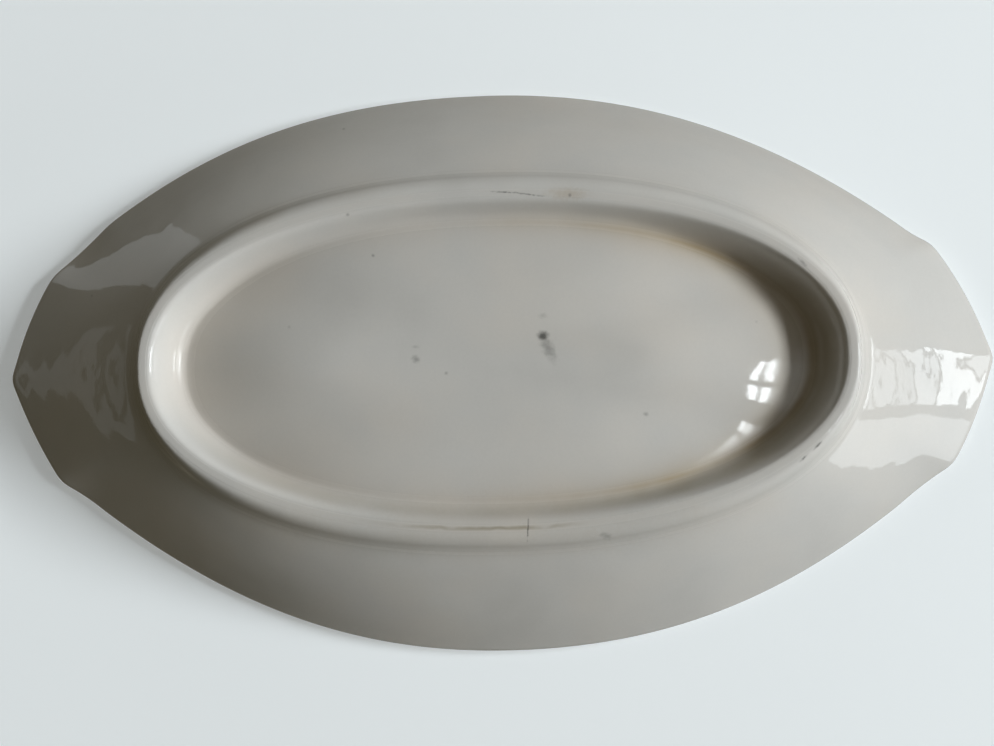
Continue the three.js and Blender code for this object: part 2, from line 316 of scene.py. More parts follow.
def heel_below(shape, rim):
    """The place on the heel from which a rim point lies straight outwards, and that way out."""
    target = Vector((abs(rim.x), abs(rim.y)))
    low, high = 0.0, math.pi / 2
    halvings = 40
    for _ in range(halvings):
        middle = (low + high) / 2
        place, out = heel_at(shape, middle)
        if (target - place).cross(out) > 0:
            high = middle
        else:
            low = middle
    mirror = Vector((math.copysign(1, rim.x), math.copysign(1, rim.y)))
    return place * mirror, out * mirror


def gentle_step(t):
    """Goes from 0 to 1 with no bend at either end, for numbers or nodes' values."""
    return t * t * t * (10 - 15 * t + 6 * t * t)


def varied(side, end, amount):
    """Between a size at the long sides and the one at the ends, for numbers or nodes' values."""
    return side + (end - side) * amount


class Station:
    """One upright section plane of the dish."""

    def __init__(self, shape, rim):
        self.heel, self.out = heel_below(shape, rim)
        endwards = self.out.x ** 2
        near_end = gentle_step(min(abs(self.out.x) / shape.groove_reach, 1))
        self.bow = varied(shape.wall_bow, shape.end_bow, endwards)
        self.ring = varied(shape.ring_side_width, shape.ring_end_width, endwards)
        self.crest = -varied(shape.crest_side_in, shape.crest_end_in, endwards)
        self.groove_height = varied(shape.groove_side_height, shape.groove_end_height, near_end)
        self.heel_height = varied(shape.heel_side_height, shape.heel_end_height, endwards)
        self.groove = self.heel - self.ring * self.out
        self.run = (rim - self.heel).length
        self.wall_run = self.run

    def place(self, p):
        """A section point in space. Inside the groove, stations run to the middle of the dish."""
        inside = -self.ring - p.x
        if inside > 0:
            plan = self.groove * (1 - inside / self.groove.length)
        else:
            plan = self.heel + self.out * self.faded(p.x)
        return (plan.x, plan.y, p.y)

    def faded(self, x):
        """Down the wall, the run follows the softened rim, and at the lip the true one."""
        if x <= 0:
            return x
        near_rim = (x / self.run) ** 4
        return x * (1 + (self.wall_run / self.run - 1) * (1 - near_rim))


def dish_stations(shape):
    rim, step = rim_outline(shape)
    stations = [Station(shape, p) for p in rim]
    wall_runs = softened([s.run for s in stations], shape.wall_softness / step)
    for station, run in zip(stations, wall_runs):
        station.wall_run = run
    return stations


# Sections

def at_least_one(reach):
    """About the reach where it is over 1, and about 1 elsewhere, for numbers or nodes' values."""
    return (reach ** 4 + 1) ** 0.25


def recess_bulge(part, near, power, roll_share, floor_power):
    """1 in the middle of the recess and 0 at its groove, for numbers or nodes' values."""
    roll = 1 - (1 - near) ** power * (1 + power * near)
    return (1 - roll_share) * (1 - part ** floor_power) + roll_share * roll


def recess_height(shape, station, part):
    """Height of the recess at a share of the way from its middle to the groove."""
    power = shape.roll_power + shape.roll_lean * station.out.x
    reach = station.groove.dot(station.out) / shape.roll_width
    near = min((1 - part) * at_least_one(reach), 1)
    bulge = recess_bulge(part, near, power, shape.roll_share, shape.floor_power)
    return varied(station.groove_height, shape.centre_height, bulge)


def flank_section(shape, station, steps):
    """From the groove up the foot's inner flank to the inner edge of the bare land."""
    land = station.crest - shape.land_width / 2
    groove = Vector((-station.ring, station.groove_height))
    run = land + station.ring
    return curve([
        groove, groove + Vector((shape.groove_bow * run, 0)),
        Vector((land - shape.inner_crest_bow * run, shape.land_step)),
        Vector((land, shape.land_step))], steps)


def heel_section(shape, station, steps):
    """From the outer edge of the bare land to the heel."""
    land = station.crest + shape.land_width / 2
    steep = Vector((math.cos(shape.heel_steepness), math.sin(shape.heel_steepness)))
    heel = Vector((0, station.heel_height))
    return curve([
        Vector((land, shape.land_step)), Vector((land * (1 - shape.outer_crest_bow), shape.land_step)),
        heel - shape.heel_bow * station.heel_height * steep, heel], steps)


def bowl_section(shape, station, steps):
    """From the heel up the wall, round the lip, down the inside and over the floor to its middle."""
    lip = shape.lip_thickness / 2
    heel = Vector((0, station.heel_height))
    lip_centre = Vector((station.run - lip, shape.height - lip))

    def tangent_angle(start, side):
        away = lip_centre - start
        return math.atan2(away.y, away.x) + side * math.asin(lip / away.length)

    def way(turn):
        return Vector((math.cos(turn), math.sin(turn)))

    outer = tangent_angle(heel, -1)
    inner_start = heel + shape.wall_thickness * Vector((-math.sin(outer), math.cos(outer)))
    inner = tangent_angle(inner_start, 1)
    turns = [outer - math.pi / 2, 0, math.pi / 2, inner + math.pi / 2]
    lip_arc = [lip_centre + lip * way(turns[0])]
    for first, last in zip(turns, turns[1:]):
        for i in range(1, steps["lip"] + 1):
            lip_arc.append(lip_centre + lip * way(first + (last - first) * i / steps["lip"]))

    floor_height = shape.groove_end_height + shape.floor_thickness
    knuckle = Vector((inner_start.x + (floor_height - inner_start.y) / math.tan(inner), floor_height))
    corner_top = knuckle + shape.floor_corner * way(inner)
    corner_end = knuckle - Vector((shape.floor_corner, 0))
    floor = []
    for i in range(steps["floor"] + 1):
        part = 1 - i / steps["floor"]
        dip = shape.floor_dip * (1 - part ** 2) ** 2
        floor.append(Vector((-station.ring - (1 - part) * station.groove.length, floor_height - dip)))
    wall = curve([heel, lip_arc[0]], steps["wall"])
    for i, p in enumerate(wall):
        p += station.bow * math.sin(math.pi * i / steps["wall"]) * way(outer - math.pi / 2)
    return (wall + lip_arc[1:]
            + curve([lip_arc[-1], corner_top], steps["inside"])[1:]
            + curve([corner_top, knuckle, corner_end], steps["corner"])[1:]
            + curve([corner_end, floor[0]], steps["ledge"])[1:] + floor[1:])


def eased(points, corner, before, after, steps):
    """A section whose corner point is rounded from some points before it to some points after it."""
    controls = [points[corner - before], points[corner], points[corner + after]]
    return points[:corner - before] + curve(controls, steps) + points[corner + after + 1:]


def coat_face(shape, station):
    """The glaze's outer face from the land's edge up the wall, round the lip and over the floor."""
    foot = heel_section(shape, station, COAT_STEPS["heel"])
    face = foot + bowl_section(shape, station, COAT_STEPS)[1:]
    return eased(face, COAT_STEPS["heel"], EASED_BEFORE_HEEL, EASED_AFTER_HEEL, COAT_STEPS["ease"])


def sunk(points, depth, start_way, end_way):
    """A section moved into the clay on its left, square to it. Its two ends move the given ways."""
    moved = [points[0] + depth * start_way]
    for before, here, after in zip(points, points[1:], points[2:]):
        along = (after - before).normalized()
        moved.append(here + depth * Vector((-along.y, along.x)))
    return moved + [points[-1] + depth * end_way]


# Meshes

def lofted(name, stations, sections, closed, marks):
    """A mesh through one section per station. marks gives named values for a section's point by number."""
    across = len(sections[0])
    count = len(stations)
    on_middle = set() if closed else {0, across - 1}
    index, places = {}, []
    for i, points in enumerate(sections):
        for j, p in enumerate(points):
            if j in on_middle and i > 0:
                index[i, j] = index[0, j]
            else:
                index[i, j] = len(places)
                places.append((j, stations[i].place(p)))
    faces = []
    for i in range(count):
        following = (i + 1) % count
        for j in range(across if closed else across - 1):
            k = (j + 1) % across
            quad = [index[i, j], index[following, j], index[following, k], index[i, k]]
            faces.append(list(dict.fromkeys(quad)))
    mesh = bpy.data.meshes.new(name)
    mesh.from_pydata([place for _, place in places], [], faces)
    for mark, values in marks.items():
        attribute = mesh.attributes.new(mark, "FLOAT", "POINT")
        attribute.data.foreach_set("value", [values[j] for j, _ in places])
    mesh.shade_smooth()
    mesh.set_sharp_from_angle(angle=SHARP_EDGE)
    return mesh


def add_piece(mesh, node, material):
    """Puts a finished mesh into the scene as the piece that stands for a CAD node."""
    piece = bpy.data.objects.new(mesh.name, mesh)
    bpy.context.scene.collection.objects.link(piece)
    mesh.materials.clear()
    mesh.materials.append(material)
    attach(piece, BODY)
    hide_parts(node)
    return piece


# Formulas in node trees

class Term:
    """A value in a node tree. Its operators add Math nodes, so formulas read as they are written."""

    def __init__(self, tree, socket):
        self.tree = tree
        self.socket = socket

    def op(self, operation, *others):
        node = self.tree.nodes.new("ShaderNodeMath")
        node.operation = operation
        for socket, value in zip(node.inputs, (self, *others)):
            feed(self.tree, socket, value)
        return Term(self.tree, node.outputs[0])

    def __add__(self, other):
        return self.op("ADD", other)

    def __sub__(self, other):
        return self.op("SUBTRACT", other)

    def __mul__(self, other):
        return self.op("MULTIPLY", other)

    def __truediv__(self, other):
        return self.op("DIVIDE", other)

    def __pow__(self, other):
        return self.op("POWER", other)

    def __rsub__(self, other):
        return self * -1 + other

    __radd__ = __add__
    __rmul__ = __mul__

    def signed_power(self, power):
        return self.op("SIGN") * self.op("ABSOLUTE") ** power

    def clipped(self):
        return self.op("MINIMUM", 1.0).op("MAXIMUM", 0.0)

    def between(self, start, end):
        """0 before start and 1 after end, smooth between them."""
        t = ((self - start) / (end - start)).clipped()
        return t * t * (3 - 2 * t)


def feed(tree, socket, value):
    """Links a node's input to a term or a socket, or sets it."""
    if isinstance(value, Term):
        value = value.socket
    if isinstance(value, bpy.types.NodeSocket):
        tree.links.new(value, socket)
    else:
        socket.default_value = value


def add_node(tree, kind, inputs=None, **settings):
    """A node with its settings, and its inputs linked or set by name."""
    node = tree.nodes.new(kind)
    for name, value in settings.items():
        setattr(node, name, value)
    for name, value in (inputs or {}).items():
        feed(tree, node.inputs[name], value)
    return node


def new_group(name, kind, inputs, outputs):
    """An empty node group with named sockets. Returns it, its inputs as terms and its output node."""
    tree = bpy.data.node_groups.new(name, kind)
    for socket_name, socket_type, default in inputs:
        socket = tree.interface.new_socket(socket_name, in_out="INPUT", socket_type=socket_type)
        if default is not None:
            socket.default_value = default
    for socket_name, socket_type in outputs:
        tree.interface.new_socket(socket_name, in_out="OUTPUT", socket_type=socket_type)
    entry = tree.nodes.new("NodeGroupInput")
    terms = {name: Term(tree, entry.outputs[name]) for name, _, _ in inputs}
    return tree, terms, tree.nodes.new("NodeGroupOutput")


# The recess glaze follows one rule all round, so Geometry Nodes make it

# How closely the mask of glaze that gathers in the groove keeps to it, on its floor side and up the foot's
# flank; the same mask also lays painted shade in the right end's groove
POOL_FLOOR_POWER = 14
POOL_FLANK_POWER = 3
SAME_PLACE = 1e-6

RECESS_SIZES = [
    "foot_length", "foot_width", "foot_fullness", "ring_end_width", "ring_side_width", "crest_end_in",
    "crest_side_in", "land_width", "land_step", "inner_crest_bow", "groove_bow", "groove_end_height",
    "groove_side_height", "groove_reach", "centre_height", "roll_share", "roll_width", "roll_power",
    "roll_lean", "floor_power",
]
RECESS_COUNTS = ["recess_turns", "recess_rings"]


def recess_tree(shape):
    """The domed oval recess and the inner flank of the foot ring, as one sheet that faces the table."""
    inputs = [(name, "NodeSocketFloat", getattr(shape, name)) for name in RECESS_SIZES]
    inputs += [(name, "NodeSocketInt", getattr(shape, name)) for name in RECESS_COUNTS]
    inputs += [("glaze", "NodeSocketMaterial", None)]
    tree, size, result = new_group(
        "oval_recess", "GeometryNodeTree", inputs, [("Geometry", "NodeSocketGeometry")])
    grid = add_node(tree, "GeometryNodeMeshGrid", {
        "Size X": 1.0, "Size Y": 1.0,
        "Vertices X": size["recess_rings"], "Vertices Y": size["recess_turns"]})
    spread = add_node(tree, "ShaderNodeSeparateXYZ", {"Vector": grid.outputs["UV Map"]})
    across = Term(tree, spread.outputs["X"])
    turn = Term(tree, spread.outputs["Y"]) * -math.tau

    # The floor takes the first stretch of the grid, and the flank the rest
    floor_stretch = 0.6
    part = (across / floor_stretch).clipped()
    flank = ((across - floor_stretch) / (1 - floor_stretch)).clipped()

    power = size["foot_fullness"] ** -1 * 2
    c, s = turn.op("COSINE"), turn.op("SINE")
    heel_x = size["foot_length"] * 0.5 * c.signed_power(power)
    heel_y = size["foot_width"] * 0.5 * s.signed_power(power)
    out_x = c.signed_power(2 - power) / size["foot_length"]
    out_y = s.signed_power(2 - power) / size["foot_width"]
    out_length = (out_x * out_x + out_y * out_y).op("SQRT")
    out_x, out_y = out_x / out_length, out_y / out_length
    endwards = out_x * out_x

    near_end = gentle_step((out_x.op("ABSOLUTE") / size["groove_reach"]).clipped())
    ring = varied(size["ring_side_width"], size["ring_end_width"], endwards)
    crest_in = varied(size["crest_side_in"], size["crest_end_in"], endwards)
    groove_height = varied(size["groove_side_height"], size["groove_end_height"], near_end)
    groove_x, groove_y = heel_x - ring * out_x, heel_y - ring * out_y
    depth = groove_x * out_x + groove_y * out_y

    roll_power = size["roll_power"] + size["roll_lean"] * out_x
    reach = depth / size["roll_width"]
    near = ((1 - part) * at_least_one(reach)).op("MINIMUM", 1.0)
    bulge = recess_bulge(part, near, roll_power, size["roll_share"], size["floor_power"])
    floor_z = varied(groove_height, size["centre_height"], bulge)

    # The flank is a curve with four control points, as in its section
    flank_run = ring - crest_in - size["land_width"] * 0.5
    back = 1 - flank
    first = 3 * flank * back * back
    second = 3 * flank * flank * back
    third = flank * flank * flank
    flank_out = flank_run * (first * size["groove_bow"] + second * (1 - size["inner_crest_bow"]) + third)
    flank_drop = (groove_height - size["land_step"]) * (second + third)

    place = add_node(tree, "ShaderNodeCombineXYZ", {
        "X": groove_x * part + out_x * flank_out, "Y": groove_y * part + out_y * flank_out,
        "Z": floor_z - flank_drop})
    moved = add_node(tree, "GeometryNodeSetPosition", {
        "Geometry": grid.outputs["Mesh"], "Position": place.outputs["Vector"]})
    pool = part ** POOL_FLOOR_POWER * back ** POOL_FLANK_POWER
    marked = moved.outputs["Geometry"]
    for mark, value in (("pool", pool), ("flank", flank)):
        store = add_node(tree, "GeometryNodeStoreNamedAttribute", {
            "Geometry": marked, "Name": mark, "Value": value}, data_type="FLOAT")
        marked = store.outputs["Geometry"]
    merged = add_node(tree, "GeometryNodeMergeByDistance", {"Geometry": marked, "Distance": SAME_PLACE})
    smooth = add_node(tree, "GeometryNodeSetShadeSmooth", {"Geometry": merged.outputs["Geometry"]})
    real = add_node(tree, "GeometryNodeRealizeInstances", {"Geometry": smooth.outputs["Geometry"]})
    painted = add_node(tree, "GeometryNodeSetMaterial", {
        "Geometry": real.outputs["Geometry"], "Material": size["glaze"]})
    tree.links.new(painted.outputs["Geometry"], result.inputs["Geometry"])
    return tree


def grown(name, tree, settings, thickness):
    """The plain mesh that a Geometry Nodes tree grows, given a thickness behind its face."""
    carrier = bpy.data.objects.new(name, bpy.data.meshes.new(name))
    bpy.context.scene.collection.objects.link(carrier)
    grow = carrier.modifiers.new("grow", "NODES")
    grow.node_group = tree
    for item in tree.interface.items_tree:
        if item.in_out == "INPUT" and item.name in settings:
            grow[item.identifier] = settings[item.name]
    skin = carrier.modifiers.new("skin", "SOLIDIFY")
    skin.thickness = thickness
    skin.offset = -1
    graph = bpy.context.evaluated_depsgraph_get()
    mesh = bpy.data.meshes.new_from_object(carrier.evaluated_get(graph), depsgraph=graph)
    bpy.data.objects.remove(carrier)
    mesh.name = name
    mesh.set_sharp_from_angle(angle=SHARP_EDGE)
    return mesh


# Materials

# Scale and detail of each noise
NOISES = {
    "clouds": (38.0, 3.0),
    "streaks": (60.0, 2.0),
    "grain": (1500.0, 2.0),
    "slow_waves": (48.0, 1.0),
    "quick_waves": (170.0, 1.0),
    "fine_waves": (380.0, 1.0),
    "peel": (900.0, 1.0),
    "rib_waver": (45.0, 1.0),
    "smudges": (55.0, 3.0),
    "ragged_edge": (1100.0, 3.0),
    "wandering_line": (160.0, 2.0),
    "sand": (1800.0, 4.0),
    "clay_clouds": (70.0, 3.0),
}
STREAK_STRETCH = (0.35, 1.6, 1.0)
# The glaze's waves by their share of the ripple's depth
WAVES = {"slow_waves": 1.0, "quick_waves": 0.15, "fine_waves": 0.05, "peel": 0.01}
# Where stains and painted shade fade in, in metres: towards the right end, where the groove's brown also
# paints the crest's shadow, towards the front, and along the worn line
RIGHT_FADE = (-0.02, 0.06)
FRONT_FADE = (0.0, 0.03)
LINE_FADE_IN = (-0.036, 0.0)
LINE_FADE_OUT = (0.006, 0.022)
LINE_FRONT_FADE = (0.02, 0.03)
# Where the brown band of stain and painted shade starts and ends, as shares of the way up the foot's inner
# flank
BAND_START = (0.02, 0.3)
BAND_END = (0.42, 0.8)
GLASS_IOR = 1.52
SPOT_HALF_HEIGHT = 0.004
MARK_DEPTH = 0.00003
SOOT_ROUGHNESS = 0.3
POOL_ROUGHNESS = 0.45
# How warm the cream turns where it pools, which in the heel's crease is dirt and painted shade, and on the
# worn land
POOL_AND_SHADE_WARMTH = 0.7
LAND_WARMTH = 0.1
# How brown it gets in the groove and in a band along the flank's front, both partly stain and partly painted
# shade, in the halos and on the worn land
GROOVE_BROWN_AND_SHADE = 0.8
BAND_BROWN_AND_SHADE = 0.16
BAND_BROWN_AND_SHADE_RIGHT = 0.2
HALO_BROWN = 0.06
HALO_BROWN_PATCHY = 0.25
LINE_BROWN = 0.5
LAND_HALO_BROWN = 0.12


def mixed_colour(tree, mask, below, above):
    mix = add_node(tree, "ShaderNodeMix", data_type="RGBA")
    feed(tree, mix.inputs[0], mask)
    feed(tree, mix.inputs[6], below)
    feed(tree, mix.inputs[7], above)
    return mix.outputs[2]


def new_material(name):
    """A material with an empty tree, its Principled BSDF and its object coordinates."""
    material = bpy.data.materials.new(name)
    material.use_nodes = True
    tree = material.node_tree
    tree.nodes.clear()
    shader = tree.nodes.new("ShaderNodeBsdfPrincipled")
    output = tree.nodes.new("ShaderNodeOutputMaterial")
    tree.links.new(shader.outputs["BSDF"], output.inputs["Surface"])
    coordinates = tree.nodes.new("ShaderNodeTexCoord")
    return material, tree, shader, coordinates.outputs["Object"]


def attribute_term(tree, name):
    node = add_node(tree, "ShaderNodeAttribute", attribute_name=name)
    return Term(tree, node.outputs["Fac"])


def with_alpha(rgb):
    return (*rgb, 1.0)


def noise_term(tree, position, name):
    scale, detail = NOISES[name]
    texture = add_node(tree, "ShaderNodeTexNoise", {"Vector": position, "Scale": scale, "Detail": detail})
    return Term(tree, texture.outputs["Fac"])


def add_bump(tree, shader, height):
    """Lets a height in metres tilt the shader's normal."""
    bump = add_node(tree, "ShaderNodeBump", {"Strength": 1.0, "Distance": 1.0, "Height": height})
    tree.links.new(bump.outputs["Normal"], shader.inputs["Normal"])


def mark_group():
    """A soft spot: 1 inside an oval of the given half sizes, turned about Z, with an uneven edge."""
    tree, size, result = new_group("soft_spot", "ShaderNodeTree", [
        ("Position", "NodeSocketVector", None), ("Middle", "NodeSocketVector", None),
        ("Half Length", "NodeSocketFloat", 0.001), ("Half Width", "NodeSocketFloat", 0.001),
        ("Turn", "NodeSocketFloat", 0.0), ("Unevenness", "NodeSocketFloat", 0.4),
        ("Softness", "NodeSocketFloat", 0.5),
    ], [("Mask", "NodeSocketFloat")])
    away = add_node(tree, "ShaderNodeVectorMath", operation="SUBTRACT")
    feed(tree, away.inputs[0], size["Position"])
    feed(tree, away.inputs[1], size["Middle"])
    turned = add_node(tree, "ShaderNodeVectorRotate", {
        "Vector": away.outputs["Vector"], "Angle": size["Turn"] * -1}, rotation_type="Z_AXIS")
    parts = add_node(tree, "ShaderNodeSeparateXYZ", {"Vector": turned.outputs["Vector"]})
    x = Term(tree, parts.outputs["X"]) / size["Half Length"]
    y = Term(tree, parts.outputs["Y"]) / size["Half Width"]
    z = Term(tree, parts.outputs["Z"]) / SPOT_HALF_HEIGHT
    edge = (noise_term(tree, size["Position"], "ragged_edge") - 0.5) * 2 * size["Unevenness"]
    distance = (x * x + y * y + z * z).op("SQRT") + edge
    mask = 1 - distance.between(1 - size["Softness"], 1 + size["Softness"])
    feed(tree, result.inputs["Mask"], mask)
    return tree


def glaze_group():
    """Colour, roughness and height of a clear glossy glaze that has run a little and gone slightly warm."""
    tree, size, result = new_group("cream_glaze", "ShaderNodeTree", [
        ("Position", "NodeSocketVector", None), ("Cream", "NodeSocketColor", None),
        ("Warm", "NodeSocketColor", None), ("Warmth", "NodeSocketFloat", 0.0),
        ("Roughness", "NodeSocketFloat", 0.1), ("Ripple", "NodeSocketFloat", 1e-4),
    ], [("Color", "NodeSocketColor"), ("Roughness", "NodeSocketFloat"), ("Height", "NodeSocketFloat")])

    position = size["Position"]
    stretched = add_node(tree, "ShaderNodeMapping", {"Vector": position, "Scale": STREAK_STRETCH})
    clouds = noise_term(tree, position, "clouds")
    streaks = noise_term(tree, stretched.outputs["Vector"], "streaks")
    grain = noise_term(tree, position, "grain")
    tone = ((clouds - 0.5) * 1.6 + (streaks - 0.5) * 0.5 + 0.12 + size["Warmth"]).clipped()
    shade = add_node(tree, "ShaderNodeHueSaturation", {
        "Color": mixed_colour(tree, tone, size["Cream"], size["Warm"]),
        "Value": 0.97 + (grain - 0.5) * 0.05 + (clouds - 0.5) * 0.3})
    feed(tree, result.inputs["Color"], shade.outputs["Color"])
    feed(tree, result.inputs["Roughness"], size["Roughness"] + (grain - 0.5) * 0.03 + (clouds - 0.5) * 0.04)
    height = 0.0
    for name, wave_share in WAVES.items():
        height = noise_term(tree, position, name) * wave_share + height
    feed(tree, result.inputs["Height"], size["Ripple"] * height)
    return tree


# Marks: middle, half length, half width, turn, unevenness, softness and strength, in metres and degrees
FLOOR_SOOT = {
    "burst_bubble": ((0.0107, -0.0053, 0.0028), 0.0010, 0.0009, 0, 0.5, 0.9, 0.85),
    "bubble_smear": ((0.0118, -0.0025, 0.0028), 0.0024, 0.0010, 65, 0.8, 1.0, 0.4),
    "faint_dot": ((0.0108, -0.0100, 0.0029), 0.0007, 0.0004, 0, 1.2, 1.2, 0.2),
    "floor_speck": ((-0.0187, -0.0006, 0.0028), 0.0007, 0.0006, 30, 1.0, 1.0, 0.4),
    "speck_mark": ((-0.0186, -0.0034, 0.0028), 0.0006, 0.0003, 0, 1.2, 1.2, 0.2),
    "floor_dot": ((-0.0117, 0.0028, 0.0028), 0.0003, 0.0003, 0, 0.6, 1.0, 0.35),
    "recess_dot": ((-0.0283, -0.0251, 0.0050), 0.0003, 0.0003, 0, 0.6, 1.0, 0.5),
    "left_dot": ((-0.0481, -0.0089, 0.0041), 0.0003, 0.0003, 0, 0.6, 1.0, 0.2),
    "brown_dot": ((0.0339, 0.0131, 0.0037), 0.0005, 0.0004, 20, 0.8, 1.0, 0.4),
    "right_dot": ((0.0603, -0.0080, 0.0054), 0.0003, 0.0003, 0, 0.6, 1.0, 0.15),
}
WALL_SOOT = {
    "wall_dot": ((-0.0365, -0.0589, 0.0170), 0.0003, 0.0003, 0, 0.6, 1.0, 0.3),
    "left_wall_dot": ((-0.0973, -0.0188, 0.0130), 0.0003, 0.0003, 0, 0.6, 1.0, 0.25),
}
CREST_SOOT = {
    "crest_crack_start": ((0.0025, -0.0385, 0.0003), 0.0022, 0.00015, 4, 1.8, 0.9, 0.6),
    "crest_crack_end": ((0.0078, -0.0379, 0.0003), 0.0030, 0.00015, 9, 1.8, 0.9, 0.5),
    "brown_nick": ((0.0176, -0.0374, 0.0003), 0.0003, 0.0004, 0, 0.8, 0.9, 0.5),
    "cross_crack": ((0.0063, 0.0389, 0.0005), 0.0019, 0.00016, 94, 1.6, 0.8, 0.6),
    "heel_nick": ((0.0240, 0.0407, 0.0008), 0.0010, 0.0005, 15, 1.2, 1.2, 0.3),
    "crest_nick": ((0.0703, -0.0205, 0.0004), 0.0009, 0.0003, 45, 1.2, 1.0, 0.4),
    "scratch_one": ((0.0722, 0.0213, 0.0008), 0.0011, 0.0002, -45, 1.2, 0.9, 0.65),
    "scratch_two": ((0.0690, 0.0240, 0.0008), 0.0008, 0.0002, -42, 1.2, 0.9, 0.65),
    "flank_dot": ((-0.0337, -0.0342, 0.0010), 0.0003, 0.0003, 0, 0.8, 0.9, 0.4),
}
CREST_STAIN = {
    "nick_halo": ((0.0172, -0.0378, 0.0010), 0.0034, 0.0010, 3, 1.0, 1.0, 1.0),
    "worn_line_halo": ((0.0020, 0.0378, 0.0010), 0.0500, 0.0055, 0, 0.6, 1.0, 0.4),
}


def spots(tree, group, position, marks):
    """The masks of some marks in a material, joined into one term."""
    joined = None
    for middle, half_length, half_width, degrees, unevenness, softness, strength in marks.values():
        spot = add_node(tree, "ShaderNodeGroup", node_tree=group)
        tree.links.new(position, spot.inputs["Position"])
        for name, value in [
                ("Middle", middle), ("Half Length", half_length), ("Half Width", half_width),
                ("Turn", math.radians(degrees)), ("Unevenness", unevenness), ("Softness", softness)]:
            spot.inputs[name].default_value = value
        mask = Term(tree, spot.outputs["Mask"]) * strength
        joined = mask if joined is None else joined.op("MAXIMUM", mask)
    return joined


def ribbed(tree, finish, position):
    """Height of the faint ribs that the maker's hand left round the wall, which waver as they run."""
    waver = (noise_term(tree, position, "rib_waver") - 0.5) * 1.6
    ribs_up = attribute_term(tree, "up_wall") / finish.rib_spacing + waver
    return (ribs_up * math.tau).op("SINE") * finish.rib_depth


def add_glaze(tree, groups, position, finish, warmth, roughness, ripple):
    glaze = add_node(tree, "ShaderNodeGroup", node_tree=groups["glaze"])
    for socket, value in [
            ("Position", position), ("Cream", with_alpha(finish.cream)),
            ("Warm", with_alpha(finish.warm_cream)), ("Warmth", warmth),
            ("Roughness", roughness), ("Ripple", ripple)]:
        feed(tree, glaze.inputs[socket], value)
    return glaze


def glaze_material(name, finish, groups, ripple, pool_and_shade_amount, soot_marks):
    """The cream glaze with its marks. Where the mask of pooled glaze and painted shade is 1 it is dull, and
    browner by the amount passed in.
    """
    material, tree, shader, position = new_material(name)
    gathered = attribute_term(tree, "pool")
    pool = gathered * pool_and_shade_amount
    flank = attribute_term(tree, "flank")
    halo = spots(tree, groups["spot"], position, CREST_STAIN)
    glaze = add_glaze(
        tree, groups, position, finish, pool ** 0.5 * POOL_AND_SHADE_WARMTH + halo, finish.gloss_roughness, ripple)
    patchy = noise_term(tree, position, "smudges").between(0.3, 0.75)
    parts = add_node(tree, "ShaderNodeSeparateXYZ", {"Vector": position})
    right = Term(tree, parts.outputs["X"]).between(*RIGHT_FADE)
    front = Term(tree, parts.outputs["Y"]).between(*FRONT_FADE)
    low_flank = flank.between(*BAND_START) * (1 - flank.between(*BAND_END))
    uneven = 0.6 + patchy * 0.6
    # Painted shade in part: the groove's brown is kept to the right end, inside the crest's shadow
    groove = (pool ** 1.2 * right * uneven * GROOVE_BROWN_AND_SHADE).clipped()
    browned_and_shaded = mixed_colour(tree, groove, glaze.outputs["Color"], with_alpha(finish.groove_stain_and_shade))
    # Painted shade in part: the band along the flank's front is darkened like stain
    stain_and_shade_band = low_flank * front * (BAND_BROWN_AND_SHADE + right * BAND_BROWN_AND_SHADE_RIGHT) * uneven
    stain = (stain_and_shade_band + halo * (HALO_BROWN + patchy * HALO_BROWN_PATCHY)).clipped()
    stained = mixed_colour(tree, stain, browned_and_shaded, with_alpha(finish.stain))
    soot = spots(tree, groups["spot"], position, soot_marks)
    sooty = mixed_colour(tree, soot, stained, with_alpha(finish.soot))
    tree.links.new(sooty, shader.inputs["Base Color"])
    dull = soot * SOOT_ROUGHNESS + gathered * gathered * POOL_ROUGHNESS
    feed(tree, shader.inputs["Roughness"], Term(tree, glaze.outputs["Roughness"]) + dull)
    height = Term(tree, glaze.outputs["Height"]) - soot * MARK_DEPTH
    add_bump(tree, shader, height + ribbed(tree, finish, position))
    shader.inputs["IOR"].default_value = GLASS_IOR
    return material


def land_material(name, finish, groups):
    """The worn land: rubbed cream with a brown line that wanders along its front arc."""
    material, tree, shader, position = new_material(name)
    halo = spots(tree, groups["spot"], position, CREST_STAIN)
    glaze = add_glaze(
        tree, groups, position, finish, halo + LAND_WARMTH, finish.land_roughness, finish.recess_ripple)
    parts = add_node(tree, "ShaderNodeSeparateXYZ", {"Vector": position})
    x, y = Term(tree, parts.outputs["X"]), Term(tree, parts.outputs["Y"])
    wavy = noise_term(tree, position, "wandering_line")
    off_line = (attribute_term(tree, "across") + (wavy - 0.5) * 1.6).op("ABSOLUTE")
    along = x.between(*LINE_FADE_IN) * (1 - x.between(*LINE_FADE_OUT)) * y.between(*LINE_FRONT_FADE)
    line = (1 - off_line.between(0.05, 0.7)) * along * wavy.between(0.25, 0.55)
    stain = (line * LINE_BROWN + halo * LAND_HALO_BROWN).clipped()
    stained = mixed_colour(tree, stain, glaze.outputs["Color"], with_alpha(finish.stain))
    soot = spots(tree, groups["spot"], position, CREST_SOOT)
    sooty = mixed_colour(tree, soot, stained, with_alpha(finish.soot))
    tree.links.new(sooty, shader.inputs["Base Color"])
    feed(tree, shader.inputs["Roughness"], Term(tree, glaze.outputs["Roughness"]) + line * SOOT_ROUGHNESS)
    add_bump(tree, shader, Term(tree, glaze.outputs["Height"]) - (soot + line) * MARK_DEPTH)
    return material


